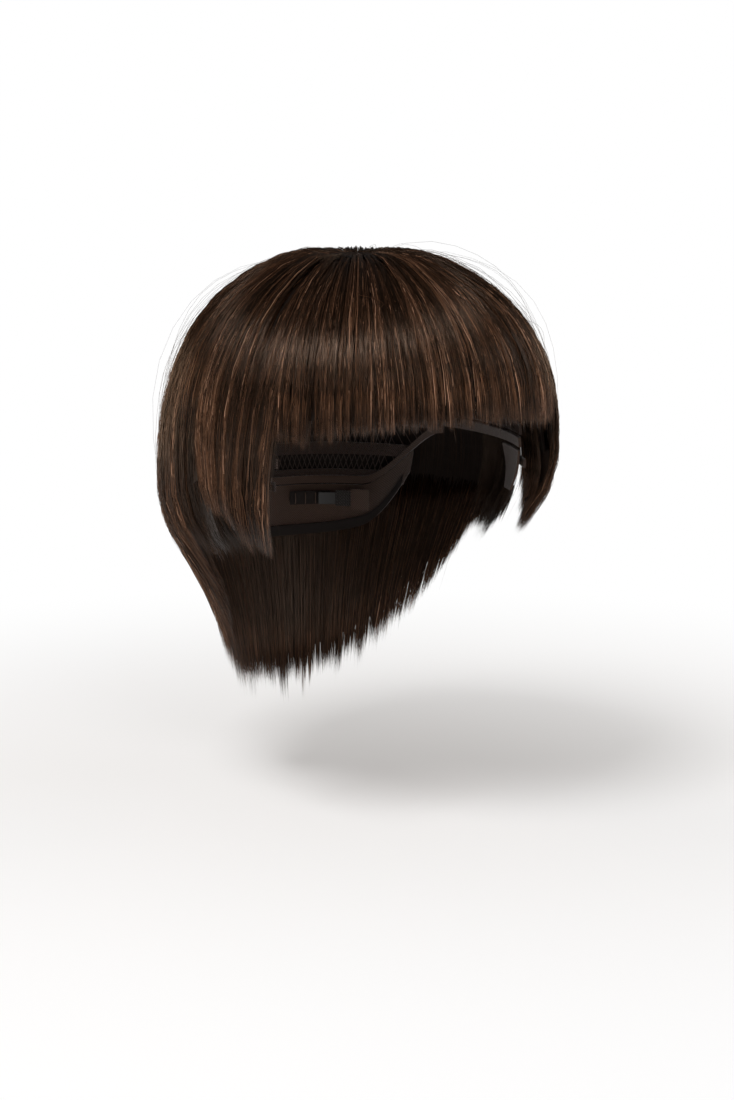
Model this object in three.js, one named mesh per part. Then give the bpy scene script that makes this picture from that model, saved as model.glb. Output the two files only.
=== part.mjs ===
// Costume wig: a machine-sewn cap with rows of wefted hair, cut short with a full fringe,
// pointed locks in front of the ears and a longer nape.
// Millimetres. Origin at the top of the head inside the cap, +Z up, the face towards -Y.
import * as THREE from "three";

// Head form the cap fits
const headHalfWidth = 75;
const headHalfLengthFront = 94;
const headHalfLengthBack = 94;
const headTop = 0;
const headWidestZ = -88;
const headPower = 2.3;

// Outside of the dressed hair
const hairHalfWidth = 95;
const hairHalfLengthFront = 106;
const hairHalfLengthBack = 114;
const hairTop = 20;
const hairWidestZ = -84;
const hairWidestSwing = 18;
const hairPower = 2.4;

// Below the widest level both forms draw in towards the neck
const mmPerDegreeBelow = 2;
const drawInSides = 0.54;
const drawInBack = 0.26;

// Layers, measured out from the head
const capInner = 0.3;
const capOuter = 1.3;
const weftInner = 1.8;
const weftOuter = 3.1;
const weftHeight = 4.6;
const hairInner = 5;
const hairEndShare = 0.36;
const gap = 0.5;

// Cap edges
const patchDown = 13;
const crownNetDown = 52;
const frontTurn = 62;
const backTurn = 112;
const frontEdgeZ = -38;
const frontEdgeRise = 12;
const overEarZ = -78;
const backNetZ = -112;
const napeEdgeZ = -138;
const napeTurn = 124;
const bindingWidth = 5;

// Ear tabs, turned with the left one
const tabTurnFront = 59;
const tabTurnBack = 81;
const tabTopZ = -80.2;
const tabTipZ = -101;
const stayTurn = 66;
const stayWidth = 3;

// Hair sections
const whorlDown = 24;
const topDown = 50;
const fringeTurn = 54;
const fringeZ = -53;
const fringeEndDrop = 11;
const lockTurnFront = 54;
const lockTurnBack = 87;
const lockTipFront = 60;
const lockTipBack = 69;
const lockTopZ = -88;
const lockTipZ = -118;
const sideTurn = 100;
const backMidZ = -104;
const napeMidZ = -150;
const napeTipZ = -216;

// Nape adjusters, the left one
const strapCentreX = -4.3;
const strapCentreY = 30.9;
const strapRadius = 58.2;
const strapZ = -119;
const strapStart = 54;
const strapEnd = 36;
const strapWidth = 8;
const tapeStart = 11;
const tapeEnd = 33;
const loopCount = 4;

const finishes = {
  hair: { color: 0x35221a, roughness: 0.42, metalness: 0 },
  net: { color: 0x231711, roughness: 0.85, metalness: 0 },
  weft: { color: 0x2a1b14, roughness: 0.8, metalness: 0 },
  patch: { color: 0xb58a6c, roughness: 0.6, metalness: 0 },
  ribbon: { color: 0x1d1512, roughness: 0.9, metalness: 0 },
  elastic: { color: 0x17120f, roughness: 0.85, metalness: 0 },
  stay: { color: 0x9a9da0, roughness: 0.35, metalness: 1 },
  hook: { color: 0x1b1715, roughness: 0.3, metalness: 0 },
};

const rad = THREE.MathUtils.degToRad;
const lerp = THREE.MathUtils.lerp;
const smooth = THREE.MathUtils.smoothstep;

const headForm = {
  halfWidth: headHalfWidth,
  front: headHalfLengthFront,
  back: headHalfLengthBack,
  top: headTop,
  power: headPower,
  widestZ: () => headWidestZ,
};

const hairForm = {
  halfWidth: hairHalfWidth,
  front: hairHalfLengthFront,
  back: hairHalfLengthBack,
  top: hairTop,
  power: hairPower,
  widestZ: (turn) => hairWidestZ + hairWidestSwing * Math.cos(rad(turn)),
};

// Share of the full draw-in, gentle at first and levelling off
function drawInAt(t) {
  return t ** 2 / (0.12 + 0.8 * t + 0.45 * t ** 2);
}

// A point of a form: turn goes round from the face towards the left ear, down from the crown
function onForm(form, turn, down, out = 0) {
  const widest = form.widestZ(turn);
  const slope = rad(Math.min(down, 90));
  const share = Math.sin(slope) ** (2 / form.power);
  const rise = Math.cos(slope) ** (2 / form.power);
  const below = Math.max(down - 90, 0) * mmPerDegreeBelow;
  const drawIn = drawInAt(below / 100);
  const c = Math.cos(rad(turn));
  const halfLength = (c > 0 ? form.front : form.back) + out;
  return new THREE.Vector3(
    (form.halfWidth + out) * share * (1 - drawInSides * drawIn) * Math.sin(rad(turn)),
    -halfLength * share * (1 - drawInBack * drawIn) * c,
    widest + (form.top + out - widest) * rise * (down < 90 ? 1 : 0) - below,
  );
}

// The angle down at which a form reaches height z
function downTo(form, turn, z) {
  const widest = form.widestZ(turn);
  if (z < widest) return 90 + (widest - z) / mmPerDegreeBelow;
  const rise = (z - widest) / (form.top - widest);
  return THREE.MathUtils.radToDeg(Math.acos(rise ** (form.power / 2)));
}

// Height at which the hair ends, all round
function hairEndZ(turn) {
  const t = Math.abs(turn > 180 ? turn - 360 : turn);
  if (t <= fringeTurn) return fringeZ - fringeEndDrop * (t / fringeTurn) ** 2;
  if (t <= sideTurn) return lerp(lockTipZ, -126, smooth(t, fringeTurn, sideTurn));
  return lerp(-126, napeTipZ, Math.sin(rad((90 * (t - sideTurn)) / (180 - sideTurn))) ** 0.54);
}

// The hair thins from its full depth at the crown to a thin layer at the cut ends
function hairInside(turn, down) {
  const outside = onForm(hairForm, turn, down);
  const level = downTo(headForm, turn, Math.min(outside.z, -1));
  const inside = onForm(headForm, turn, lerp(down, level, smooth(down, 35, 80)), hairInner);
  const end = downTo(hairForm, turn, hairEndZ(turn));
  return outside.lerp(inside, 1 - (1 - hairEndShare) * smooth(down, 48, end));
}

// A closed shell between an inner and an outer sheet, place(u, v, side) gives turn and down
function shell(place, inner, outer, nu, nv, ring = false) {
  const points = [];
  const faces = [];
  const columns = ring ? nu : nu + 1;
  const at = (side, i, j) => side * columns * (nv + 1) + (i % columns) * (nv + 1) + j;
  [inner, outer].forEach((sheet, side) => {
    for (let i = 0; i < columns; i++) {
      for (let j = 0; j <= nv; j++) {
        const [turn, down] = place(i / nu, j / nv, side);
        points.push(...sheet(turn, down).toArray());
      }
    }
  });
  const quad = (a, b, c, d) => faces.push(a, b, c, a, c, d);
  for (let i = 0; i < nu; i++) {
    for (let j = 0; j < nv; j++) {
      quad(at(1, i, j), at(1, i, j + 1), at(1, i + 1, j + 1), at(1, i + 1, j));
      quad(at(0, i, j), at(0, i + 1, j), at(0, i + 1, j + 1), at(0, i, j + 1));
    }
    quad(at(0, i, 0), at(1, i, 0), at(1, i + 1, 0), at(0, i + 1, 0));
    quad(at(0, i, nv), at(0, i + 1, nv), at(1, i + 1, nv), at(1, i, nv));
  }
  for (let j = 0; j < nv && !ring; j++) {
    quad(at(0, 0, j), at(0, 0, j + 1), at(1, 0, j + 1), at(1, 0, j));
    quad(at(0, nu, j), at(1, nu, j), at(1, nu, j + 1), at(0, nu, j + 1));
  }
  return solid(points, faces);
}

// A closed round shell over the crown
function disc(edgeDown, inner, outer, nu, nv) {
  const points = [];
  const faces = [];
  [inner, outer].forEach((sheet) => {
    points.push(...sheet(0, 0).toArray());
    for (let j = 1; j <= nv; j++) {
      for (let i = 0; i < nu; i++) {
        points.push(...sheet((360 * i) / nu, (edgeDown * j) / nv).toArray());
      }
    }
  });
  const start = 1 + nu * nv;
  const at = (side, i, j) => side * start + (j ? 1 + (j - 1) * nu + (i % nu) : 0);
  for (let i = 0; i < nu; i++) {
    faces.push(at(1, 0, 0), at(1, i, 1), at(1, i + 1, 1));
    faces.push(at(0, 0, 0), at(0, i + 1, 1), at(0, i, 1));
    for (let j = 1; j < nv; j++) {
      const o = [at(1, i, j), at(1, i, j + 1), at(1, i + 1, j + 1), at(1, i + 1, j)];
      const n = [at(0, i, j), at(0, i + 1, j), at(0, i + 1, j + 1), at(0, i, j + 1)];
      faces.push(o[0], o[1], o[2], o[0], o[2], o[3]);
      faces.push(n[0], n[1], n[2], n[0], n[2], n[3]);
    }
    const rim = [at(0, i, nv), at(0, i + 1, nv), at(1, i + 1, nv), at(1, i, nv)];
    faces.push(rim[0], rim[1], rim[2], rim[0], rim[2], rim[3]);
  }
  return solid(points, faces);
}

function solid(points, faces) {
  const geometry = new THREE.BufferGeometry();
  geometry.setAttribute("position", new THREE.Float32BufferAttribute(points, 3));
  geometry.setIndex(faces);
  geometry.computeVertexNormals();
  return geometry;
}

// A layer of the cap between two turns, its edges given as functions of turn
function capLayer(from, to, top, bottom, near, far, nu, nv) {
  const ring = to - from === 360;
  const place = (u, v) => {
    const turn = lerp(from, to, u);
    return [turn, lerp(top(turn), bottom(turn), v)];
  };
  const sheet = (out) => (turn, down) => onForm(headForm, turn, down, out);
  return shell(place, sheet(near), sheet(far), nu, nv, ring);
}

const headDown = (z) => (turn) => downTo(headForm, turn, typeof z === "function" ? z(turn) : z);
const fixedDown = (down) => () => down;

// Front edge of the cap: lowest at the temples
const frontEdge = (turn) => frontEdgeZ - frontEdgeRise * (Math.abs(turn) / frontTurn) ** 2;
// Back edge of the net panel: rises towards the ears
const backEdge = (turn) => {
  const away = Math.abs(turn - 180) / (180 - backTurn);
  return lerp(backNetZ, overEarZ - 4, smooth(away, 0.55, 1));
};
const napeEdge = (turn) => {
  const away = Math.abs(turn - 180) / (180 - napeTurn);
  return lerp(napeEdgeZ, backEdge(turn) - 12, away ** 3);
};

function partingPatch() {
  const sheet = (out) => (turn, down) => onForm(headForm, turn, down, out);
  return disc(patchDown, sheet(capInner), sheet(capOuter), 20, 2);
}

function crownNet() {
  const top = fixedDown(patchDown + 0.4);
  return capLayer(0, 360, top, fixedDown(crownNetDown), capInner, capOuter, 28, 3);
}

function frontBand() {
  const top = fixedDown(crownNetDown + 0.4);
  const bottom = headDown((turn) => frontEdge(turn));
  return capLayer(-frontTurn, frontTurn, top, bottom, capInner, capOuter, 14, 3);
}

function sidePanel() {
  const top = fixedDown(crownNetDown + 0.4);
  return capLayer(frontTurn + 0.5, backTurn - 0.5, top, headDown(overEarZ), capInner, capOuter, 8, 2);
}

function backNet() {
  const top = fixedDown(crownNetDown + 0.4);
  return capLayer(backTurn, 360 - backTurn, top, headDown(backEdge), capInner, capOuter, 16, 3);
}

function napeBand() {
  const top = headDown((turn) => backEdge(turn) - gap);
  return capLayer(napeTurn, 360 - napeTurn, top, headDown(napeEdge), capInner, capOuter, 16, 2);
}

// Ribbon sewn along the inside of the front edge
function frontBinding() {
  const bottom = headDown((turn) => frontEdge(turn));
  const top = headDown((turn) => frontEdge(turn) + bindingWidth);
  return capLayer(-frontTurn + 1, frontTurn - 1, top, bottom, capInner - 1.7, capInner - 0.8, 14, 1);
}

function napeBinding() {
  const bottom = headDown(napeEdge);
  const top = headDown((turn) => napeEdge(turn) + bindingWidth);
  return capLayer(napeTurn + 2, 358 - napeTurn, top, bottom, capInner - 1.7, capInner - 0.8, 16, 1);
}

function earTab() {
  const place = (u, v) => {
    const turn = lerp(lerp(tabTurnFront, 66, v), lerp(tabTurnBack, 74, v), u);
    return [turn, downTo(headForm, turn, lerp(tabTopZ, tabTipZ, v))];
  };
  const sheet = (out) => (turn, down) => onForm(headForm, turn, down, out);
  return shell(place, sheet(capInner), sheet(capOuter), 4, 3);
}

// Springy strip that keeps the tab pressed to the temple
function earStay() {
  const half = (stayWidth / 2 / headHalfLengthFront) * (180 / Math.PI);
  const top = headDown(tabTopZ - 1.5);
  const bottom = headDown(tabTipZ + 2.5);
  const from = stayTurn + 3 - half;
  return capLayer(from, from + 2 * half, top, bottom, capOuter + 0.3, capOuter + 1, 2, 4);
}

// One sewn row of wefted hair at an angle down from the crown
function weftAt(from, to, down, nu) {
  const half = (down) => (weftHeight / 2 / 84) * (180 / Math.PI);
  const top = (turn) => down(turn) - half();
  const bottom = (turn) => down(turn) + half();
  return capLayer(from, to, top, bottom, weftInner, weftOuter, nu, 1);
}

function tabWeft() {
  return capLayer(62, 78, headDown(-84), headDown(-88), capOuter + 1.4, capOuter + 2.5, 4, 1);
}

// A section of dressed hair
function hairSection(from, to, top, bottom, nu, nv, seam = 0.35) {
  const place = (u, v) => {
    const turn = lerp(from + seam, to - seam, u);
    return [turn, lerp(top(turn) + seam, bottom(turn), v)];
  };
  return shell(place, hairInside, (turn, down) => onForm(hairForm, turn, down), nu, nv);
}

const hairDown = (z) => (turn) => downTo(hairForm, turn, typeof z === "function" ? z(turn) : z);

function whorlHair() {
  return disc(whorlDown, hairInside, (turn, down) => onForm(hairForm, turn, down), 28, 4);
}

// Lock in front of the ear, its top cut back so that it clears the hair above as the tab bends
function earLock() {
  const place = (u, v, side) => {
    const ease = v ** 1.3;
    const turn = lerp(
      lerp(lockTurnFront + 0.6, lockTipFront, ease),
      lerp(lockTurnBack - 1.2, lockTipBack, ease),
      u,
    );
    const topZ = side ? lockTopZ : lockTopZ + 4;
    return [turn, downTo(hairForm, turn, lerp(topZ, lockTipZ, v))];
  };
  return shell(place, hairInside, (turn, down) => onForm(hairForm, turn, down), 6, 4);
}

// Adjuster parts follow a circle about strapCentre, angles from the back towards the left
function arcBody(outline, bottom, top) {
  const shape = new THREE.Shape(outline.map(([angle, r]) => new THREE.Vector2(
    strapCentreX + r * Math.sin(rad(angle)),
    strapCentreY + r * Math.cos(rad(angle)),
  )));
  const body = new THREE.ExtrudeGeometry(shape, { depth: top - bottom, bevelEnabled: false });
  return body.translate(0, 0, bottom);
}

function arcStrip(from, to, near, far, width, steps = 5) {
  const angles = Array.from({ length: steps + 1 }, (_, i) => lerp(from, to, i / steps));
  const back = [...angles].reverse();
  const outline = [...angles.map((a) => [a, near]), ...back.map((a) => [a, far])];
  return arcBody(outline, strapZ - width / 2, strapZ + width / 2);
}

function strap() {
  return arcStrip(strapStart, strapEnd, strapRadius - 4.2, strapRadius - 3.3, strapWidth);
}

// Flat hook at the strap's end, its lip towards the tape
function strapHook() {
  const r = strapRadius;
  const end = strapEnd - 0.3;
  const outline = [
    [end, r - 4.4], [end - 4.5, r - 4.4], [end - 9, r - 4.4], [end - 9.6, r - 3.8],
    [end - 9.5, r - 3.1], [end - 8.8, r - 2.9], [end - 5.5, r - 2.9], [end - 5.5, r - 3.3],
    [end - 8.6, r - 3.4], [end - 8.6, r - 3.7], [end - 4.5, r - 3.6], [end, r - 3.6],
  ];
  return arcBody(outline, strapZ - strapWidth / 2 + 1, strapZ + strapWidth / 2 - 1);
}

// Tape with thread loops that the hook catches
function loopTape() {
  const r = strapRadius - 2;
  const outline = [[tapeStart, r + 0.7], [tapeStart, r]];
  const pitch = (tapeEnd - tapeStart) / loopCount;
  for (let i = 0; i < loopCount; i++) {
    const a = tapeStart + pitch * (i + 0.5);
    outline.push([a - 0.7, r], [a - 0.5, r - 0.4], [a + 0.5, r - 0.4], [a + 0.7, r]);
  }
  outline.push([tapeEnd, r], [tapeEnd, r + 0.7], [(tapeStart + tapeEnd) / 2, r + 0.7]);
  return arcBody(outline, strapZ - strapWidth / 2 + 0.5, strapZ + strapWidth / 2 - 0.5);
}

// Cloth flap sewn over the strap's fixed part
function strapCasing() {
  const near = strapRadius - 5.4;
  return arcStrip(strapStart + 2, strapStart - 9, near, near + 0.8, strapWidth + 3, 3);
}

const root = new THREE.Group();
root.name = "costume_wig";

function add(name, geometry, finish) {
  const material = new THREE.MeshStandardMaterial(finishes[finish]);
  const mesh = new THREE.Mesh(geometry, material);
  mesh.name = name;
  root.add(mesh);
  return mesh;
}

// The same piece on the left and, mirrored, on the right
function addPair(name, make, finish) {
  add(name + "_left", make(), finish);
  add(name + "_right", make(), finish).scale.x = -1;
}

add("parting_patch", partingPatch(), "patch");
add("crown_net", crownNet(), "net");
add("front_band", frontBand(), "net");
addPair("side_panel", sidePanel, "net");
add("back_net", backNet(), "net");
add("nape_band", napeBand(), "net");
add("front_binding", frontBinding(), "ribbon");
add("nape_binding", napeBinding(), "ribbon");
addPair("ear_tab", earTab, "net");
addPair("ear_stay", earStay, "stay");
addPair("strap", strap, "elastic");
addPair("strap_hook", strapHook, "hook");
addPair("loop_tape", loopTape, "ribbon");
addPair("strap_casing", strapCasing, "net");

[20, 27, 34, 41].forEach((down, i) => {
  add("weft_crown_" + (i + 1), weftAt(0, 360, fixedDown(down), 28), "weft");
});
[5.5, 11.5].forEach((rise, i) => {
  const down = headDown((turn) => frontEdge(turn) + rise);
  add("weft_front_" + (i + 1), weftAt(-frontTurn + 4, frontTurn - 4, down, 12), "weft");
});
[-58, -70].forEach((z, i) => {
  const row = () => weftAt(frontTurn + 2, backTurn - 2, headDown(z), 6);
  addPair("weft_side_" + (i + 1), row, "weft");
});
[-50, -64, -78, -94, -108].forEach((z, i) => {
  const turn = backTurn + (i < 3 ? 1 : 14);
  add("weft_back_" + (i + 1), weftAt(turn, 360 - turn, headDown(z), 14), "weft");
});
[-121, -131].forEach((z, i) => {
  const turn = napeTurn + 12 + 8 * i;
  add("weft_nape_" + (i + 1), weftAt(turn, 360 - turn, headDown(z), 10), "weft");
});
addPair("weft_tab", tabWeft, "weft");

const toTop = fixedDown(whorlDown);
const toMid = fixedDown(topDown);
const toSide = hairDown(-78);
const toEnd = hairDown(hairEndZ);
const toBackMid = hairDown(backMidZ);
const toNapeMid = hairDown(napeMidZ);
add("hair_whorl", whorlHair(), "hair");
add("hair_top_front", hairSection(-fringeTurn, fringeTurn, toTop, toMid, 14, 4), "hair");
addPair("hair_top", () => hairSection(fringeTurn, 126, toTop, toMid, 10, 4), "hair");
add("hair_top_back", hairSection(126, 234, toTop, toMid, 14, 4), "hair");
add("hair_fringe", hairSection(-fringeTurn, fringeTurn, toMid, toEnd, 18, 5), "hair");
addPair("hair_side", () => hairSection(fringeTurn, sideTurn, toMid, toSide, 8, 5), "hair");
addPair("hair_lock", earLock, "hair");
addPair("hair_behind_ear", () => {
  const turn0 = lockTurnBack + 0.5;
  const bottom = hairDown((turn) => lerp(-112, -150, smooth(turn, turn0, 126)));
  return hairSection(turn0, sideTurn, toSide, bottom, 3, 4);
}, "hair");
addPair("hair_back_side", () => {
  const bottom = hairDown((turn) => lerp(-124, -172, smooth(turn, sideTurn, 126)));
  return hairSection(sideTurn, 126, toMid, bottom, 5, 9);
}, "hair");
add("hair_back", hairSection(126, 234, toMid, toBackMid, 14, 6), "hair");
add("hair_nape_upper", hairSection(126, 234, toBackMid, toNapeMid, 14, 3), "hair");
add("hair_nape", hairSection(126, 234, toNapeMid, toEnd, 14, 5), "hair");

export default root;
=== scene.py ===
import math

import bpy
import numpy as np
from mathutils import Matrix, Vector


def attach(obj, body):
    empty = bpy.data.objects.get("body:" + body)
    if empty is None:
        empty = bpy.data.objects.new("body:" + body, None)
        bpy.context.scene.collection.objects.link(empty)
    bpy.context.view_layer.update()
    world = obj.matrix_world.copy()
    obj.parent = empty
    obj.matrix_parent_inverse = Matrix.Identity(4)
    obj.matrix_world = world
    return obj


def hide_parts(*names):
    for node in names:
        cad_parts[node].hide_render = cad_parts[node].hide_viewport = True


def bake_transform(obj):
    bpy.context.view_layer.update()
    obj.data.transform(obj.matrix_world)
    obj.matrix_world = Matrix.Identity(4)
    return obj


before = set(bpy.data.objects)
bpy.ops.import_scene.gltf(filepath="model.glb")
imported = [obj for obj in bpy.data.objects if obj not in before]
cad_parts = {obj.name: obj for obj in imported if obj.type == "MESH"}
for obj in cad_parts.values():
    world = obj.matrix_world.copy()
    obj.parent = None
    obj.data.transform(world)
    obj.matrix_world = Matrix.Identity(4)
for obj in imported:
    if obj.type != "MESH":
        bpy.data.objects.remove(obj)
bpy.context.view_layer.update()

scene = bpy.context.scene

mm = 0.001

# The head the cap fits and the outside of the dressed hair, in metres. Swing lifts the widest level at the
# face and lowers it at the back; bend is the power and the three factors of the curve that draws each in
# below that level
headForm = {
    "side": 0.075, "front": 0.094, "back": 0.094, "top": 0.0, "widest": -0.088, "swing": 0.0, "power": 2.3,
    "bend": (2, 0.12, 0.8, 0.45),
}
hairForm = {
    "side": 0.095, "front": 0.106, "back": 0.114, "top": 0.020, "widest": -0.084, "swing": 0.018, "power": 2.4,
    "bend": (3, 0.19, 0.0, 1.2),
}
# Shares of the width and of the length that come off where that curve reaches 1, and the fall it is
# measured against
drawIn = {"sides": 0.54, "back": 0.26, "length": 0.1}
fallPerDegree = 0.002  # metres straight down for each degree past 90


def formPoint(form, turn, down, out=0.0):
    # A superellipse dome from the crown to the widest level, then straight down while it draws in to the
    # neck; turn goes round from the face towards the left ear and down from the crown, both in degrees
    turn, down, out = np.broadcast_arrays(*(np.asarray(v, float) for v in (turn, down, out)))
    angle = np.radians(turn)
    slope = np.radians(np.clip(down, 0, 90))
    widest = form["widest"] + form["swing"] * np.cos(angle)
    share = np.sin(slope) ** (2 / form["power"])
    rise = np.where(down < 90, np.clip(np.cos(slope), 0, 1) ** (2 / form["power"]), 0)
    below = np.maximum(down - 90, 0) * fallPerDegree
    t = below / drawIn["length"]
    power, first, second, third = form["bend"]
    narrow = t**power / (first + second * t + third * t**power)
    c = np.cos(angle)
    halfLength = np.where(c > 0, form["front"], form["back"]) + out
    x = (form["side"] + out) * share * (1 - drawIn["sides"] * narrow) * np.sin(angle)
    y = -halfLength * share * (1 - drawIn["back"] * narrow) * c
    z = widest + (form["top"] + out - widest) * rise - below
    return np.stack([x, y, z], -1)


def formFrame(form, turn, down):
    # The point and the unit direction out of the form, from two small steps along it
    down = np.maximum(down, 0.02)
    p = formPoint(form, turn, down)
    round_ = formPoint(form, np.asarray(turn) + 0.4, down) - p
    fall = formPoint(form, turn, np.asarray(down) + 0.4) - p
    out = np.cross(fall, round_)
    return p, out / np.maximum(np.linalg.norm(out, axis=-1, keepdims=True), 1e-12)


def downTo(form, turn, z):
    # The angle down at which the form reaches height z
    turn, z = np.broadcast_arrays(np.asarray(turn, float), np.asarray(z, float))
    widest = form["widest"] + form["swing"] * np.cos(np.radians(turn))
    rise = np.clip((z - widest) / (form["top"] - widest), 0, 1)
    dome = np.degrees(np.arccos(np.clip(rise ** (form["power"] / 2), 0, 1)))
    return np.where(z < widest, 90 + (widest - z) / fallPerDegree, dome)


def smooth(x, a, b):
    # Eases from 0 at a to 1 at b
    t = np.clip((x - a) / (b - a), 0, 1)
    return t * t * (3 - 2 * t)


def foldTurn(turn):
    # Turn as 0 at the face to 180 at the back, on either side
    t = np.mod(np.asarray(turn, float), 360)
    return np.where(t > 180, 360 - t, t)


def hairEndZ(turn):
    # Height of the cut ends: arched fringe, short pointed locks, and a nape that falls towards the middle
    t = foldTurn(turn)
    fringe = -0.053 - 0.011 * (t / 54) ** 2
    side = -0.118 - 0.008 * smooth(t, 54, 100)
    back = -0.126 - 0.090 * np.sin(np.radians(90 * np.clip(t - 100, 0, 80) / 80)) ** 0.54
    return np.where(t <= 54, fringe, np.where(t <= 100, side, back))


def fringeEnd(turn):
    # The fringe's own edge, carried on past the temples
    return -0.0535 - 0.011 * (foldTurn(turn) / 54) ** 2


def linear(hexColour):
    # sRGB hex to the linear numbers that shaders take
    channels = [int(hexColour[i:i + 2], 16) / 255 for i in (1, 3, 5)]
    return tuple(c / 12.92 if c <= 0.04045 else ((c + 0.055) / 1.055) ** 2.4 for c in channels) + (1.0,)


def addNode(tree, kind, settings=None, links=None):
    # A node with its settings, by property or by socket name or number, and its input links
    node = tree.nodes.new(kind)
    for key, value in (settings or {}).items():
        if isinstance(key, str) and hasattr(node, key):
            setattr(node, key, value)
        else:
            node.inputs[key].default_value = value
    for key, socket in (links or {}).items():
        tree.links.new(socket, node.inputs[key])
    return node


def newMaterial(name, settings):
    # A Principled material with the numbers that are the same all over it
    material = bpy.data.materials.new(name)
    material.use_nodes = True
    shader = material.node_tree.nodes["Principled BSDF"]
    for key, value in settings.items():
        shader.inputs[key].default_value = value
    return material, material.node_tree, shader


def setRamp(node, stops):
    # Stops are pairs of place and colour
    ramp = node.color_ramp
    ramp.elements[0].position, ramp.elements[0].color = stops[0]
    ramp.elements[1].position, ramp.elements[1].color = stops[-1]
    for place, colour in stops[1:-1]:
        ramp.elements.new(place).color = colour
    return node


def newPiece(name, points, faces, material, body, nodes=(), maps=None, smoothFaces=True):
    # points (n, 3) and faces (m, 3 or 4) as whole arrays; maps holds UV arrays with one pair for each corner
    mesh = bpy.data.meshes.new(name)
    count, corners = faces.shape
    mesh.vertices.add(len(points))
    mesh.vertices.foreach_set("co", np.ascontiguousarray(points, np.float32).ravel())
    mesh.loops.add(count * corners)
    mesh.loops.foreach_set("vertex_index", np.ascontiguousarray(faces, np.int32).ravel())
    mesh.polygons.add(count)
    mesh.polygons.foreach_set("loop_start", np.arange(0, count * corners, corners, dtype=np.int32))
    mesh.polygons.foreach_set("use_smooth", np.full(count, smoothFaces))
    for mapName, uv in (maps or {}).items():
        layer = mesh.uv_layers.new(name=mapName)
        layer.uv.foreach_set("vector", np.ascontiguousarray(uv, np.float32).ravel())
    mesh.update(calc_edges=True)
    if corners == 4:
        mesh.set_sharp_from_angle(angle=math.radians(50))
    mesh.materials.append(material)
    piece = bpy.data.objects.new(name, mesh)
    scene.collection.objects.link(piece)
    if body:
        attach(piece, body)
    if nodes:
        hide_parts(*nodes)
    return piece


# Camera, lights and floor
cameraPlan = {
    "azimuth": -29.0, "elevation": 11.5, "distance": 1.2528, "lens": 82.0, "target": (0.0039, -0.0022, -0.131),
}
a, e = math.radians(cameraPlan["azimuth"]), math.radians(cameraPlan["elevation"])
back = Vector((math.sin(a) * math.cos(e), -math.cos(a) * math.cos(e), math.sin(e)))
camera = bpy.data.objects.new("camera", bpy.data.cameras.new("camera"))
scene.collection.objects.link(camera)
camera.data.lens = cameraPlan["lens"]
camera.data.sensor_width = 36
camera.location = Vector(cameraPlan["target"]) + back * cameraPlan["distance"]
camera.rotation_mode = "QUATERNION"
camera.rotation_quaternion = (-back).to_track_quat("-Z", "Y")
camera.data.clip_start, camera.data.clip_end = 0.01, 50
scene.camera = camera

# Soft boxes: where each stands round the wig (azimuth, elevation, distance), its size, power and colour
softBoxes = {
    "keyBox": {"at": (-58, 52, 1.5), "size": 0.45, "power": 19, "colour": "#fffaf5"},
    "frontBox": {"at": (-16, 30, 1.7), "size": 0.4, "power": 5, "colour": "#fffcf8"},
    "lowBox": {"at": (-10, 2, 1.7), "size": 0.5, "power": 5.5, "colour": "#ffffff"},
    "fillBox": {"at": (62, 25, 1.8), "size": 0.8, "power": 4, "colour": "#fbfcff"},
    "rimBox": {"at": (98, 8, 1.6), "size": 0.8, "power": 8, "colour": "#ffe0c0"},
    "rimBoxRight": {"at": (-138, 6, 1.6), "size": 0.8, "power": 9, "colour": "#ffe0c0"},
}
for name, box in softBoxes.items():
    light = bpy.data.objects.new(name, bpy.data.lights.new(name, "AREA"))
    scene.collection.objects.link(light)
    light.data.size, light.data.energy = box["size"], box["power"]
    light.data.color = linear(box["colour"])[:3]
    a, e = math.radians(box["at"][0]), math.radians(box["at"][1])
    way = Vector((math.sin(a) * math.cos(e), -math.cos(a) * math.cos(e), math.sin(e)))
    light.location = Vector((0, 0, -0.09)) + way * box["at"][2]
    light.rotation_mode = "QUATERNION"
    light.rotation_quaternion = way.to_track_quat("Z", "Y")
    light.visible_camera = False

world = bpy.data.worlds.new("studio")
scene.world = world
world.use_nodes = True
tree = world.node_tree
ground = tree.nodes["Background"]
ground.inputs["Color"].default_value = (1, 1, 1, 1)
path = addNode(tree, "ShaderNodeLightPath")
strength = addNode(
    tree, "ShaderNodeMath", {"operation": "MULTIPLY_ADD", 1: 0.92, 2: 0.08}, {0: path.outputs["Is Camera Ray"]},
)
tree.links.new(strength.outputs[0], ground.inputs["Strength"])

# Pale studio floor that turns into plain white further out; it lies where a display head's foot would stand
floorPlan = {"height": -0.268, "size": 12.0, "clearTo": 0.10, "whiteFrom": 0.62, "colour": "#f3f7fc"}
half, z = floorPlan["size"], floorPlan["height"]
corners = np.array([[-half, -half, z], [half, -half, z], [half, half, z], [-half, half, z]])
floorMaterial, tree, shader = newMaterial("matt white studio paper", {
    "Roughness": 0.9, "Base Color": linear(floorPlan["colour"]),
})
place = addNode(tree, "ShaderNodeTexCoord")
length = addNode(tree, "ShaderNodeVectorMath", {"operation": "LENGTH"}, {0: place.outputs["Object"]})
share = addNode(tree, "ShaderNodeMapRange", {
    "interpolation_type": "SMOOTHSTEP", 1: floorPlan["clearTo"], 2: floorPlan["whiteFrom"],
}, {0: length.outputs["Value"]})
white = addNode(tree, "ShaderNodeEmission", {"Color": (1, 1, 1, 1), "Strength": 1.0})
mixed = addNode(tree, "ShaderNodeMixShader", {}, {
    0: share.outputs[0], 1: shader.outputs[0], 2: white.outputs[0],
})
tree.links.new(mixed.outputs[0], tree.nodes["Material Output"].inputs["Surface"])
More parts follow.
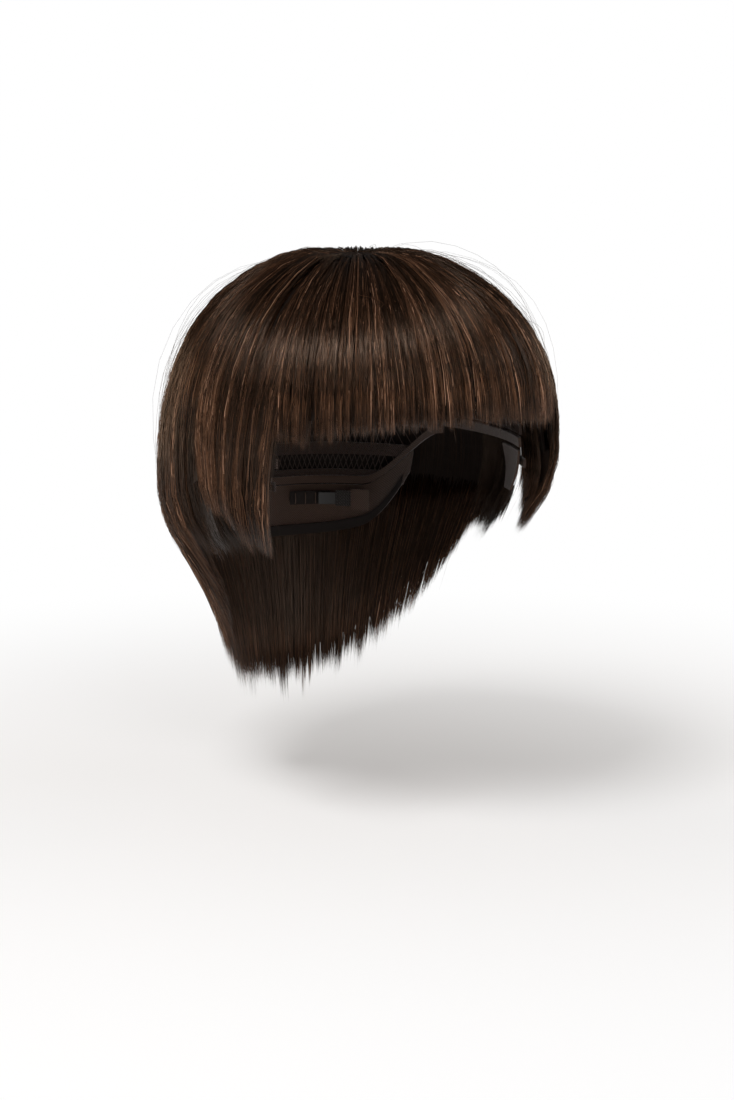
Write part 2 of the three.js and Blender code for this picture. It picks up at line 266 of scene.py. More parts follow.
floor = newPiece("studioFloor", corners, np.array([[0, 1, 2, 3]]), floorMaterial, None)
scene.view_settings.view_transform = "Standard"
print("camera, lights and floor made")

# Heat-set fibre hair: fine round filaments, dark brown with a soft streaky shine, lighter towards the cut ends
hairLook = {
    "shades": [(0.0, "#070301"), (0.3, "#180d06"), (0.55, "#2b1b11"), (0.8, "#4c3425"), (1.0, "#846552")],
    "rootDark": 0.7, "tipLight": 3.3, "roughness": 0.27, "ior": 1.55, "shine": 0.32, "shineColour": "#ffdcc4",
}
strandMaterial, tree, shader = newMaterial("fibre hair strands", {
    "Roughness": hairLook["roughness"], "IOR": hairLook["ior"], "Specular IOR Level": hairLook["shine"],
    "Specular Tint": linear(hairLook["shineColour"]),
})
uvNode = addNode(tree, "ShaderNodeUVMap", {"uv_map": "strandMap"})
parts = addNode(tree, "ShaderNodeSeparateXYZ", {}, {0: uvNode.outputs[0]})
shadeRamp = setRamp(
    addNode(tree, "ShaderNodeValToRGB", {}, {0: parts.outputs[0]}),
    [(p, linear(c)) for p, c in hairLook["shades"]],
)
alongRamp = setRamp(
    addNode(tree, "ShaderNodeValToRGB", {}, {0: parts.outputs[1]}),
    [
        (p, (level,) * 3 + (1,))
        for p, level in ((0.0, hairLook["rootDark"]), (0.22, 0.95), (0.68, 1.0), (1.0, hairLook["tipLight"]))
    ],
)
tint = addNode(tree, "ShaderNodeMix", {
    "data_type": "RGBA", "blend_type": "MULTIPLY", "factor_mode": "UNIFORM", 0: 1.0,
}, {6: shadeRamp.outputs[0], 7: alongRamp.outputs[0]})
# Faint bands along each strand, a few centimetres long
stretch = addNode(tree, "ShaderNodeMapping", {3: (180, 7, 1)}, {0: uvNode.outputs[0]})
bands = addNode(tree, "ShaderNodeTexNoise", {
    "noise_dimensions": "2D", "Scale": 1.0, "Detail": 2.0,
}, {"Vector": stretch.outputs[0]})
bandShare = addNode(tree, "ShaderNodeMapRange", {1: 0.3, 2: 0.7, 3: 0.6, 4: 1.45}, {0: bands.outputs[0]})
streaked = addNode(tree, "ShaderNodeVectorMath", {"operation": "SCALE"}, {
    0: tint.outputs[2], "Scale": bandShare.outputs[0],
})
tree.links.new(streaked.outputs[0], shader.inputs["Base Color"])

# The imported hair under the outer strands, combed into fine grooves: painted darker than the strands as shade
# deep in the hair, and darkest in the grooves, painted shade there
massMaterial, tree, shader = newMaterial("packed fibre hair", {
    "Roughness": 0.65, "IOR": 1.55, "Specular IOR Level": 0.12,
})
uvNode = addNode(tree, "ShaderNodeUVMap", {"uv_map": "clothMap"})
# Grooves about 0.7 mm apart
combed = addNode(tree, "ShaderNodeMapping", {3: (1400, 22, 1)}, {0: uvNode.outputs[0]})
grooves = addNode(tree, "ShaderNodeTexNoise", {
    "noise_dimensions": "2D", "Scale": 1.0, "Detail": 3.0, "Roughness": 0.65,
}, {"Vector": combed.outputs[0]})
# Painted shade: the colour is darkest down in the grooves
massRamp = setRamp(
    addNode(tree, "ShaderNodeValToRGB", {}, {0: grooves.outputs[0]}),
    [(0.32, linear("#060201")), (0.55, linear("#120904")), (0.75, linear("#21130a"))],
)
tree.links.new(massRamp.outputs[0], shader.inputs["Base Color"])
bump = addNode(tree, "ShaderNodeBump", {"Strength": 0.6, "Distance": 0.0006}, {"Height": grooves.outputs[0]})
tree.links.new(bump.outputs[0], shader.inputs["Normal"])


def strandTubes(paths, outward, radii, shade, widen=1.5):
    # Three-sided tubes: each ring corner is the path's point plus the radius times (cos * sideways * widen +
    # sin * outward), and the last ring is a point. Each strand has its own narrow column of the strand map
    n, m, _ = paths.shape
    along = np.gradient(paths, axis=1)
    along /= np.maximum(np.linalg.norm(along, axis=-1, keepdims=True), 1e-12)
    side = np.cross(along, outward)
    side /= np.maximum(np.linalg.norm(side, axis=-1, keepdims=True), 1e-12)
    up = np.cross(side, along)
    angles = np.radians([90, 210, 330])
    across = np.cos(angles)[:, None] * side[:, :, None, :] * widen
    ring = across + np.sin(angles)[:, None] * up[:, :, None, :]
    rings = paths[:, :, None, :] + ring * radii[:, :, None, None]
    points = np.concatenate([rings[:, :-1].reshape(n, -1, 3), paths[:, -1:]], 1)
    k = np.arange(3)
    kNext = (k + 1) % 3
    j = np.arange(m - 2)[:, None]
    lo, hi = 3 * j, 3 * (j + 1)
    first = np.stack([lo + k, hi + k, hi + kNext], -1).reshape(-1, 3)
    second = np.stack([lo + k, hi + kNext, lo + kNext], -1).reshape(-1, 3)
    tip = np.stack([3 * (m - 2) + k, np.full(3, 3 * (m - 1)), 3 * (m - 2) + kNext], -1)
    pattern = np.concatenate([first, second, tip, [[0, 1, 2]]])
    column = 0.0045
    kk = np.broadcast_to(k, (m - 2, 3)).ravel() * column / 3
    kk1 = kk + column / 3
    v0 = np.broadcast_to(j / (m - 1), (m - 2, 3)).ravel()
    v1 = np.broadcast_to((j + 1) / (m - 1), (m - 2, 3)).ravel()
    uvFirst = np.stack([np.stack([kk, v0], -1), np.stack([kk, v1], -1), np.stack([kk1, v1], -1)], 1)
    uvSecond = np.stack([np.stack([kk, v0], -1), np.stack([kk1, v1], -1), np.stack([kk1, v0], -1)], 1)
    tipLow = np.full(3, (m - 2) / (m - 1))
    ends = k * column / 3
    tipCorners = [(ends, tipLow), (ends + column / 6, np.ones(3)), (ends + column / 3, tipLow)]
    uvTip = np.stack([np.stack(pair, -1) for pair in tipCorners], 1)
    uvRoot = np.array([[[0, 0], [column, 0], [column / 2, 0.01]]])
    uv = np.concatenate([uvFirst, uvSecond, uvTip, uvRoot])
    uv = np.broadcast_to(uv, (n,) + uv.shape).copy()
    uv[..., 0] += (0.01 + 0.97 * np.clip(shade, 0, 1))[:, None, None]
    uv[..., 1] = 0.01 + 0.98 * uv[..., 1]
    faces = (pattern[None] + (np.arange(n) * points.shape[1])[:, None, None]).reshape(-1, 3)
    return points.reshape(-1, 3), faces, uv.reshape(-1, 2)


# The dent the hair rises out of at the whorl and the low hump round it: metres, and degrees down
whorlForm = {"dent": 0.0030, "dentWidth": 4.5, "hump": 0.0016, "humpAt": 17, "humpWidth": 9}


def growHair(plan, rng):
    # Strands in clumps that follow the form from root to cut end: every strand keeps near its clump's line,
    # which wanders, and closer to it towards the tip; it starts deep, rises to its layer and thins at its end
    n, m, clumps = plan["strands"], plan["rings"], plan["clumps"]
    t = np.linspace(0, 1, m)[None, :] ** plan.get("crowd", 1.0)
    clump = rng.integers(0, clumps, n)
    lo, hi = plan["turns"]
    clumpTurn = rng.uniform(lo, hi, clumps)
    clumpEnd = rng.normal(0, plan["ragged"], clumps)
    clumpDepth = rng.uniform(*plan["depth"], clumps)
    # Clumps lie in wider locks, each at its own depth and shade, which draw together towards their ends
    count = max(int((hi - lo) / plan["lockWidth"]), 1)
    middles = lo + (np.arange(count) + 0.5 + rng.uniform(-0.35, 0.35, count)) * (hi - lo) / count
    lock = np.argmin(np.abs(clumpTurn[:, None] - middles[None]), 1)
    pull = rng.uniform(*plan["pull"], count)[lock]
    clumpDepth = clumpDepth + rng.uniform(0, plan["lockDepth"], count)[lock]
    clumpEnd = clumpEnd + rng.normal(0, plan["lockRagged"], count)[lock]
    clumpShade = np.clip(rng.uniform(0.1, 0.6, clumps) + rng.normal(0, 0.07, count)[lock], 0.03, 0.8)
    lean = rng.normal(0, plan["lean"], count)[lock]
    clumpPhase = rng.uniform(0, 2 * np.pi, (2, clumps))
    clumpSway = rng.normal(0, plan["sway"], (2, clumps))
    spread = plan["clumpWidth"] * rng.uniform(0.6, 1.5, clumps)
    gather = rng.uniform(*plan["gather"], clumps)
    off = rng.normal(0, 1, n)
    firstRoot, lastRoot = plan["roots"]
    rootDown = rng.uniform(0, 1, n) ** plan.get("rootPower", 1.0) * (lastRoot - firstRoot) + firstRoot
    tipTurn = clumpTurn[clump]
    rootTurn = plan["rootTurn"](tipTurn) if "rootTurn" in plan else tipTurn
    ease = t ** plan.get("turnPower", 1.0)
    turn = rootTurn[:, None] * (1 - ease) + tipTurn[:, None] * ease
    turn = turn + (middles[lock] - clumpTurn)[clump][:, None] * pull[clump][:, None] * smooth(t, 0.25, 1.0)
    turn = turn + lean[clump][:, None] * smooth(t, 0.1, 1.0)
    turn = turn + off[:, None] * spread[clump][:, None] * (1 - gather[clump][:, None] * t)
    wave = clumpSway[0][clump][:, None] * np.sin(2.2 * np.pi * t + clumpPhase[0][clump][:, None])
    wave += clumpSway[1][clump][:, None] * np.sin(4.6 * np.pi * t + clumpPhase[1][clump][:, None])
    strayHeight = rng.normal(0, plan["stray"], n)[:, None]
    strayTurns = np.pi * t * rng.uniform(0.6, 1.6, n)[:, None]
    stray = strayHeight * np.sin(strayTurns + rng.uniform(0, 6.28, n)[:, None])
    turn = turn + (wave + stray) * smooth(t, 0, 0.3)
    endZ = plan["endZ"](tipTurn) + clumpEnd[clump] + rng.normal(0, plan["ragged"] * 0.45, n)
    short = rng.random(n) < plan["shorter"][0]
    endZ = endZ + np.where(short, rng.uniform(0, plan["shorter"][1], n), 0)
    endDown = downTo(hairForm, tipTurn, endZ)
    down = rootDown[:, None] * (1 - t) + endDown[:, None] * t
    layer = clumpDepth[clump] + rng.uniform(0, plan["loose"], n)
    depth = layer[:, None] + plan["rootDepth"] * np.exp(-t / 0.07)
    depth = depth + plan["tipDepth"] * rng.uniform(0, 1, n)[:, None] * smooth(t, 0.72, 1.0)
    ripple = rng.normal(0, plan["loose"] * 0.12, n)[:, None]
    depth = depth + ripple * np.sin(2 * np.pi * t * rng.uniform(0.7, 1.8, n)[:, None])
    # The ends may stand out a little from the form, and single hairs may lift in the middle
    depth = depth - plan.get("puff", 0.0) * smooth(t, 0.4, 0.7) * (1 - 0.5 * smooth(t, 0.8, 1.0))
    if "liftAt" in plan:
        where, height = plan["liftAt"]
        depth = depth - height * rng.exponential(0.5, n)[:, None] * np.exp(-((t - where) / 0.3) ** 2)
    depth = depth + whorlForm["dent"] * np.exp(-((down / whorlForm["dentWidth"]) ** 2))
    depth = depth - whorlForm["hump"] * np.exp(-(((down - whorlForm["humpAt"]) / whorlForm["humpWidth"]) ** 2))
    p, out = formFrame(hairForm, turn, down)
    paths = p - out * depth[..., None]
    if "shape" in plan:
        paths = plan["shape"](paths, t, turn)
    radius = rng.uniform(*plan["radius"], n)[:, None] * (1 - 0.55 * smooth(t, 0.75, 1.0))
    radius = radius * (0.8 + 0.2 * smooth(t, 0, 0.1))
    # Painted shade: strands deeper in their lock are darker; a few are much lighter, partly their own tone and
    # partly painted highlight
    shade = clumpShade[clump] + rng.normal(0, 0.12, n) - 80 * (layer - layer.mean())
    shade = np.where(rng.random(n) < 0.08, shade + 0.32, shade)
    # Painted light by turn: a painted highlight on the locks' rear edges, and painted shadow behind the locks
    if "shadeAt" in plan:
        shade = shade + plan["shadeAt"](foldTurn(tipTurn))
    return strandTubes(paths, out, radius, shade)


def addStrands(name, plan, body, seed):
    points, faces, uv = growHair(plan, np.random.default_rng(seed))
    piece = newPiece(name, points, faces, strandMaterial, body, maps={"strandMap": uv, "OFBake": uv})
    print(name, len(faces), "triangles")
    return piece


def gridShell(outer, inner, ring=False):
    # Two grids (around, down, xyz) joined into one closed skin; the map is in metres along the outer grid
    if ring:
        outer, inner = (np.concatenate([g, g[:1]]) for g in (outer, inner))
    nu, nv = outer.shape[:2]
    ids = np.arange(nu * nv).reshape(nu, nv)
    a, b, c, d = ids[:-1, :-1], ids[:-1, 1:], ids[1:, 1:], ids[1:, :-1]
    top = np.stack([a, b, c, d], -1).reshape(-1, 4)
    low = nu * nv
    rims = [
        np.stack([ids[:-1, 0] + low, ids[:-1, 0], ids[1:, 0], ids[1:, 0] + low], -1),
        np.stack([ids[:-1, -1] + low, ids[1:, -1] + low, ids[1:, -1], ids[:-1, -1]], -1),
    ]
    if not ring:
        rims.append(np.stack([ids[0, :-1] + low, ids[0, 1:] + low, ids[0, 1:], ids[0, :-1]], -1))
        rims.append(np.stack([ids[-1, :-1] + low, ids[-1, :-1], ids[-1, 1:], ids[-1, 1:] + low], -1))
    faces = np.concatenate([top, top[:, ::-1] + low] + rims)
    stepU = np.linalg.norm(np.diff(outer, axis=0), axis=-1).mean(1)
    stepV = np.linalg.norm(np.diff(outer, axis=1), axis=-1)
    u = np.concatenate([[0], np.cumsum(stepU)])
    v = np.concatenate([np.zeros((nu, 1)), np.cumsum(stepV, 1)], 1)
    uv = np.stack([np.broadcast_to(u[:, None], (nu, nv)), v], -1).reshape(-1, 2)
    uv = np.concatenate([uv, uv])[faces].reshape(-1, 2)
    points = np.concatenate([outer.reshape(-1, 3), inner.reshape(-1, 3)])
    if ring:
        # The last column is the first one again
        keep = np.arange(nu * nv) % ((nu - 1) * nv)
        both = np.concatenate([keep, keep + (nu - 1) * nv])
        faces = both[faces]
        points = np.concatenate([points[:(nu - 1) * nv], points[low:low + (nu - 1) * nv]])
    p = points[faces]
    if np.einsum("ij,ij->i", p[:, 0], np.cross(p[:, 1], p[:, 2]) + np.cross(p[:, 2], p[:, 3])).sum() < 0:
        faces, uv = faces[:, ::-1], uv.reshape(-1, 4, 2)[:, ::-1].reshape(-1, 2)
    return points, faces, uv


def formGrid(turns, top, bottom, step=2.0, ring=False):
    # A grid of turn and down between two edges, each edge a function of turn
    nu = max(int(abs(turns[1] - turns[0]) / step), 2) + (0 if ring else 1)
    turn = np.linspace(turns[0], turns[1], nu, endpoint=not ring)
    lo, hi = top(turn) + 0 * turn, bottom(turn) + 0 * turn
    nv = max(int(np.max(hi - lo) / step), 3) + 1
    v = np.linspace(0, 1, nv)
    return turn[:, None] + 0 * v[None], lo[:, None] * (1 - v) + hi[:, None] * v


def addCloth(name, turns, top, bottom, near, far, material, body, nodes=(), step=2.0, ring=False):
    # A layer of the cap between two distances out from the head, in millimetres
    turn, down = formGrid(turns, top, bottom, step, ring)
    outer, inner = (formPoint(headForm, turn, down, d * mm) for d in (far, near))
    points, faces, uv = gridShell(outer, inner, ring)
    return newPiece(name, points, faces, material, body, nodes, {"clothMap": uv})


# Packed hair, in metres and degrees down: its gap from the head form, where its inside turns from the same
# angle to the same height as its outside, where it starts to thin and by what share, how far its skin sinks
# at the cut end and behind the ears, its least thickness there, and its ridges
packing = {
    "gap": 0.005, "leaves": (35, 80), "thinFrom": 48, "thinBy": 0.64, "sink": 0.003, "hollow": 0.010,
    "least": 0.0012, "ridge": 0.0002,
}


def hairInside(turn, down):
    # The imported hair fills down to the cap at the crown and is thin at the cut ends
    outside = formPoint(hairForm, turn, down)
    level = downTo(headForm, turn, np.minimum(outside[..., 2], -0.001))
    share = smooth(down, *packing["leaves"])
    inside = formPoint(headForm, turn, down * (1 - share) + level * share, packing["gap"])
    end = downTo(hairForm, turn, hairEndZ(turn))
    fall = np.clip((down - packing["thinFrom"]) / (end - packing["thinFrom"]), 0, 1)
    thick = 1 - packing["thinBy"] * fall**2 * (3 - 2 * fall)
    return outside + (inside - outside) * thick[..., None]


def packedShell(turns, top, bottom, depth, ring=False, step=1.5):
    turn, down = formGrid(turns, top, bottom, step, ring)
    p, out = formFrame(hairForm, turn, down)
    inner = hairInside(turn, down)
    # Soft ridges where the rows of hair lie, up to 0.4 mm either way
    ridge = np.sin(np.radians(turn * 31)) + np.sin(np.radians(turn * 53 + 60 * np.sin(np.radians(down * 6))))
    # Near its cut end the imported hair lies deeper, under the spread tips, and deepest behind the ears, where
    # the locks overhang it
    v = np.linspace(0, 1, turn.shape[1])[None, :]
    sink = packing["sink"] * smooth(v, 0.45, 1.0) * (down.max() > 60)
    away = foldTurn(turn)
    hollow = packing["hollow"] * (1 - smooth(away, 90, 112)) * (away > 87.5) * (down > 55)
    hollow = hollow * (1 - smooth(p[..., 2], -0.075, -0.03))
    room = np.einsum("ijk,ijk->ij", p - inner, out) - packing["least"]
    skin = p - out * np.minimum(depth + sink + hollow + packing["ridge"] * ridge, room)[..., None]
    return gridShell(skin, inner, ring)


def above(fallZ):
    return lambda turn: downTo(hairForm, turn, fallZ(turn) if callable(fallZ) else fallZ + 0 * turn)


def at(down):
    return lambda turn: down + 0 * turn


def cutEnd(lift):
    return lambda turn: hairEndZ(turn) + lift


def sideEnd(turn):
    # Shorter towards the front, where only strands hang
    return np.maximum(hairEndZ(turn) + 0.013 + 0.024 * (1 - smooth(foldTurn(turn), 88, 108)), -0.150)


# Each packed section: turns, the edge it starts at, the edge it ends at, and its depth under the outside in
# millimetres; the ends stop short of the strands'
mass = {
    "hair_whorl": ((0, 360), at(0.02), at(24.0), 3.6),
    "hair_top_front": ((-54, 54), at(23.9), at(50.5), 3.4),
    "hair_top_left": ((54, 126), at(23.9), at(50.5), 3.4),
    "hair_top_right": ((-126, -54), at(23.9), at(50.5), 3.4),
    "hair_top_back": ((126, 234), at(23.9), at(50.5), 3.4),
    "hair_fringe": ((-58, 58), at(50.0), above(lambda t: fringeEnd(t) + 0.010), 3.6),
    "hair_side_left": ((58, 88), at(50.0), above(-0.080), 4.2),
    "hair_side_right": ((-88, -58), at(50.0), above(-0.080), 4.2),
    "hair_back_side_left": ((88, 126), at(50.0), above(sideEnd), 5.0),
    "hair_back_side_right": ((-126, -88), at(50.0), above(sideEnd), 5.0),
    "hair_back": ((126, 234), at(50.0), above(cutEnd(0.013)), 4.4),
}
# These also stand for the sections that carry on below them
carriesOn = {
    "hair_back_side_left": ["hair_behind_ear_left"], "hair_back_side_right": ["hair_behind_ear_right"],
    "hair_back": ["hair_nape_upper", "hair_nape"],
}
for name, (turns, top, bottom, depth) in mass.items():
    words = name.split("_")
    pieceName = "packed" + "".join(w.capitalize() for w in words[1:])
    points, faces, uv = packedShell(turns, top, bottom, depth * mm, ring=name == "hair_whorl")
    nodes = [name] + carriesOn.get(name, [])
    newPiece(pieceName, points, faces, massMaterial, "wig", nodes, {"clothMap": uv})

# The imported part of each lock: the turn of each edge at the top and how far it shifts by the end, the
# heights in metres and the depths in millimetres. It narrows like the lock.
packedLock = {
    "front": (58, 9), "innerFront": (64, 8), "rear": (78, -8), "power": 1.6,
    "top": -0.079, "fall": 0.031, "depth": 3.4, "sink": 3.0,
}
for side, sign in {"left": 1, "right": -1}.items():
    v = np.linspace(0, 1, 16)[None, :]
    u = np.linspace(0, 1, 18)[:, None]
    shift = v ** packedLock["power"]
    edges = [packedLock[k] for k in ("front", "innerFront", "rear")]
    front, innerFront, rear = (atTop + slide * shift for atTop, slide in edges)
    turn = sign * (front * (1 - u) + rear * u)
    innerTurn = sign * (innerFront * (1 - u) + rear * u)
    z = packedLock["top"] - packedLock["fall"] * v + 0 * u
    p, out = formFrame(hairForm, turn, downTo(hairForm, turn, z))
    deep = (packedLock["depth"] + packedLock["sink"] * smooth(v, 0.3, 1.0)) * mm + 0 * u
    skin = p - out * deep[..., None]
    points, faces, uv = gridShell(skin, hairInside(innerTurn, downTo(hairForm, innerTurn, z)))
    lock = newPiece(
        "packedLock" + side.capitalize(), points, faces, massMaterial, None, ["hair_lock_" + side],
        {"clothMap": uv},
    )
    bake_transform(lock)
print("packed hair made")

# Colours of the cap: matt dark cloth, near-black ribbon, a pale patch like skin, and plain bright steel
clothLook = {
    "net": "#2b1d15", "lace": "#33231a", "ribbon": "#120b08", "elastic": "#17120f", "weft": "#2a1b14",
    "patch": "#b58a6c", "thread": "#3b281c", "steel": "#9a9da0", "moulded": "#120d0a",
}


def wovenMaterial(name, colour, thread, roughness, sheen, height, lighter=1.8):
    # Cloth whose threads cross at the given spacing in metres, raised by a bump, with the threads' raised backs
    # painted lighter, a painted highlight
    material, tree, shader = newMaterial(name, {
        "Roughness": roughness, "Sheen Weight": sheen, "Sheen Roughness": 0.4, "Specular IOR Level": 0.3,
    })
    uvNode = addNode(tree, "ShaderNodeUVMap", {"uv_map": "clothMap"})
    parts = addNode(tree, "ShaderNodeSeparateXYZ", {}, {0: uvNode.outputs[0]})
    waves = []
    for axis in (0, 1):
        turned = addNode(tree, "ShaderNodeMath", {
            "operation": "MULTIPLY", 1: 2 * math.pi / thread,
        }, {0: parts.outputs[axis]})
        waves.append(addNode(tree, "ShaderNodeMath", {"operation": "SINE"}, {0: turned.outputs[0]}))
    crossing = addNode(tree, "ShaderNodeMath", {"operation": "MULTIPLY"}, {
        0: waves[0].outputs[0], 1: waves[1].outputs[0],
    })
    # Painted highlight: where the threads rise the colour is lighter than the cloth's own
    dark = linear(colour)
    light = tuple(min(c * lighter, 1) for c in dark[:3]) + (1,)
    ramp = addNode(tree, "ShaderNodeValToRGB", {}, {0: crossing.outputs[0]})
    setRamp(ramp, [(0.0, dark), (0.6, light)])
    tree.links.new(ramp.outputs[0], shader.inputs["Base Color"])
    raised = {"Strength": 0.7, "Distance": height}
    bump = addNode(tree, "ShaderNodeBump", raised, {"Height": crossing.outputs[0]})
    tree.links.new(bump.outputs[0], shader.inputs["Normal"])
    return material


# Thread spacings and heights are in metres, coarser than real threads, which would be too fine to show
laceMaterial = wovenMaterial("woven stretch lace", clothLook["lace"], 0.0012, 0.8, 0.3, 0.0003)
patchMaterial = wovenMaterial(
    "skin-coloured monofilament weave", clothLook["patch"], 0.0009, 0.55, 0.2, 0.0001, 1.25,
)
ribbonMaterial = wovenMaterial("velour ribbon", clothLook["ribbon"], 0.0007, 0.95, 0.05, 0.0001)
elasticMaterial = wovenMaterial("ribbed elastic webbing", clothLook["elastic"], 0.0016, 0.8, 0.3, 0.0004)
weftMaterial = wovenMaterial("machine-sewn weft thread", clothLook["weft"], 0.0013, 0.75, 0.3, 0.0006, 2.2)
threadMaterial, tree, shader = newMaterial("knitted nylon net thread", {
    "Roughness": 0.6, "Base Color": linear(clothLook["net"]),
})
stitchMaterial, tree, shader = newMaterial("sewing thread", {
    "Roughness": 0.65, "Base Color": linear(clothLook["thread"]),
})
steelMaterial, tree, shader = newMaterial("tempered spring steel", {
    "Metallic": 1.0, "Roughness": 0.32, "Base Color": linear(clothLook["steel"]),
})
mouldedMaterial, tree, shader = newMaterial("moulded nylon", {
    "Roughness": 0.5, "IOR": 1.53, "Specular IOR Level": 0.3, "Base Color": linear(clothLook["moulded"]),
})


def headDown(z):
    return lambda turn: downTo(headForm, turn, z(turn) if callable(z) else z + 0 * turn)


def frontEdge(turn):
    return -0.038 - 0.012 * (np.abs(turn) / 62) ** 2


def backEdge(turn):
    return -0.112 + 0.030 * smooth(np.abs(turn - 180) / 68, 0.55, 1)


def napeEdge(turn):
    share = (np.abs(turn - 180) / 56) ** 3
    return -0.138 * (1 - share) + (backEdge(turn) - 0.012) * share


# Net threads: the head's mean radius, the spacing and the thread's radius in metres, the lean in degrees,
# and the distance out from the head with half the step between the two layers, in millimetres
net = {"round": 0.0825, "mesh": 0.0030, "thread": 0.00016, "lean": 26.0, "out": 0.8, "layer": 0.12}


def addNet(name, turns, top, bottom, body, nodes, ring=False):
    # Threads that slant both ways from the top edge to the bottom edge, one layer over the other
    width = np.radians(turns[1] - turns[0]) * net["round"]
    count = int(width / net["mesh"])
    start = np.linspace(turns[0], turns[1], count, endpoint=False)
    t = np.linspace(0, 1, 24)[None, :]
    paths, outs = [], []
    for way in (-1, 1):
        turn = start[:, None] + way * net["lean"] * t
        if not ring:
            turn = np.clip(turn, *turns)
        down = top(turn) * (1 - t) + bottom(turn) * t
        p, out = formFrame(headForm, turn, down)
        paths.append(p + out * (net["out"] + net["layer"] * way) * mm)
        outs.append(out)
    paths, outs = np.concatenate(paths), np.concatenate(outs)
    radii = np.full(paths.shape[:2], net["thread"])
    points, faces, uv = strandTubes(paths, outs, radii, np.full(len(paths), 0.5))
    newPiece(name, points, faces, threadMaterial, body, nodes, {"OFBake": uv})


# Degrees down from the crown
crown = {"patchDown": 13.0, "netDown": 52.0, "bandDown": 52.4}
addCloth(
    "partingPatch", (0, 360), at(0.02), at(crown["patchDown"]), 0.3, 1.1, patchMaterial, "wig",
    ["parting_patch"], 1.5, True,
)
addCloth("patchHem", (0, 360), at(12.2), at(15.6), 1.15, 1.6, laceMaterial, "wig", (), 2.0, True)
addNet("crownNet", (0, 360), at(13.4), at(crown["netDown"]), "wig", ["crown_net"], True)
addCloth("crownHem", (0, 360), at(50.4), at(53.4), 1.0, 1.7, laceMaterial, "wig", (), 2.0, True)
addCloth(
    "frontBand", (-62, 62), at(crown["bandDown"]), headDown(frontEdge), 0.3, 1.2, laceMaterial, "wig",
    ["front_band"],
)
for side, sign in {"left": 1, "right": -1}.items():
    turns = tuple(sorted((62.5 * sign, 111.5 * sign)))
    tail = side.capitalize()
    addNet("sideNet" + tail, turns, at(crown["bandDown"]), headDown(-0.078), "wig", ["side_panel_" + side])
    addCloth(
        "sideHem" + tail, turns, headDown(-0.0735), headDown(-0.0782), 0.3, 1.7, laceMaterial,
        "wig",
    )
addNet("backNet", (112, 248), at(crown["bandDown"]), headDown(backEdge), "wig", ["back_net"])
addCloth(
    "backHem", (112, 248), headDown(lambda t: backEdge(t) + 0.004), headDown(backEdge), 0.3, 1.7, laceMaterial,
    "wig",
)
addCloth(
    "napeBand", (124, 236), headDown(lambda t: backEdge(t) - 0.0005), headDown(napeEdge), 0.3, 1.3,
    laceMaterial, "wig", ["nape_band"],
)
# Width in metres, and the distances out from the head in millimetres, so that it lines the inside
ribbon = {"width": 0.005, "near": -1.4, "far": -0.5}
for name, turns, edge, node in (
    ("frontBinding", (-61, 61), frontEdge, "front_binding"),
    ("napeBinding", (126, 234), napeEdge, "nape_binding"),
):
    addCloth(
        name, turns, headDown(lambda t: edge(t) + ribbon["width"]), headDown(edge), ribbon["near"],
        ribbon["far"], ribbonMaterial, "wig", [node],
    )

# Rows of wefted hair: a sewn band, with a zigzag of thread over it Half the band's width in degrees down,
# 2.3 mm on a curve of 84 mm, and on the ear tabs, where a degree is 2 mm; the distances out from the head,
# the tabs' lift, a stitch and the length of a degree in millimetres; the thread in metres
weft = {
    "half": 2.3 / 84 * 180 / math.pi, "tabHalf": 0.9, "near": 1.85, "far": 2.7, "tabLift": 0.9,
    "stitch": 1.3, "perDegree": 1.45, "thread": 0.00018,
}
rows = {"weft_crown_%d" % (i + 1): ((0, 360), at(d), "wig") for i, d in enumerate((20.0, 27.0, 34.0, 41.0))}
for i, rise in enumerate((0.0055, 0.0115)):
    rows["weft_front_%d" % (i + 1)] = ((-58, 58), headDown(lambda t, r=rise: frontEdge(t) + r), "wig")
for i, z in enumerate((-0.058, -0.070)):
    rows["weft_side_%d_left" % (i + 1)] = ((64, 110), headDown(z), "wig")
    rows["weft_side_%d_right" % (i + 1)] = ((-110, -64), headDown(z), "wig")
for i, z in enumerate((-0.050, -0.064, -0.078, -0.094, -0.108)):
    near = 113 if i < 3 else 126
    rows["weft_back_%d" % (i + 1)] = ((near, 360 - near), headDown(z), "wig")
for i, z in enumerate((-0.121, -0.131)):
    near = 136 + 8 * i
    rows["weft_nape_%d" % (i + 1)] = ((near, 360 - near), headDown(z), "wig")
rows["weft_tab_left"] = ((62, 78), headDown(-0.086), "tab_left")
rows["weft_tab_right"] = ((-78, -62), headDown(-0.086), "tab_right")
for name, (turns, middle, body) in rows.items():
    ring = turns[1] - turns[0] == 360
    halfBand = weft["half"] if "tab" not in name else weft["tabHalf"]
    pieceName = "".join(w.capitalize() if i else w for i, w in enumerate(name.split("_")))
    lift = weft["tabLift"] if "tab" in name else 0.0
    addCloth(
        pieceName, turns, lambda t: middle(t) - halfBand, lambda t: middle(t) + halfBand, weft["near"] + lift,
        weft["far"] + lift, weftMaterial, body, [name], 2.0, ring,
    )
    steps = int((turns[1] - turns[0]) * weft["perDegree"] / weft["stitch"])
    turn = np.linspace(turns[0], turns[1], steps * 2 + 1)[None, :]
    zigzag = middle(turn) + halfBand * 0.75 * np.where(np.arange(steps * 2 + 1) % 2, 1, -1)[None, :]
    inside, out = formFrame(headForm, turn, zigzag)
    paths = np.concatenate([inside + out * (1.75 + lift) * mm, inside + out * (2.8 + lift) * mm])
    radii = np.full(paths.shape[:2], weft["thread"])
    points, faces, uv = strandTubes(paths, np.concatenate([out, out]), radii, np.array([0.3, 0.6]))
    newPiece(pieceName + "Stitches", points, faces, stitchMaterial, body, (), {"OFBake": uv})
print("cap panels and wefts made")

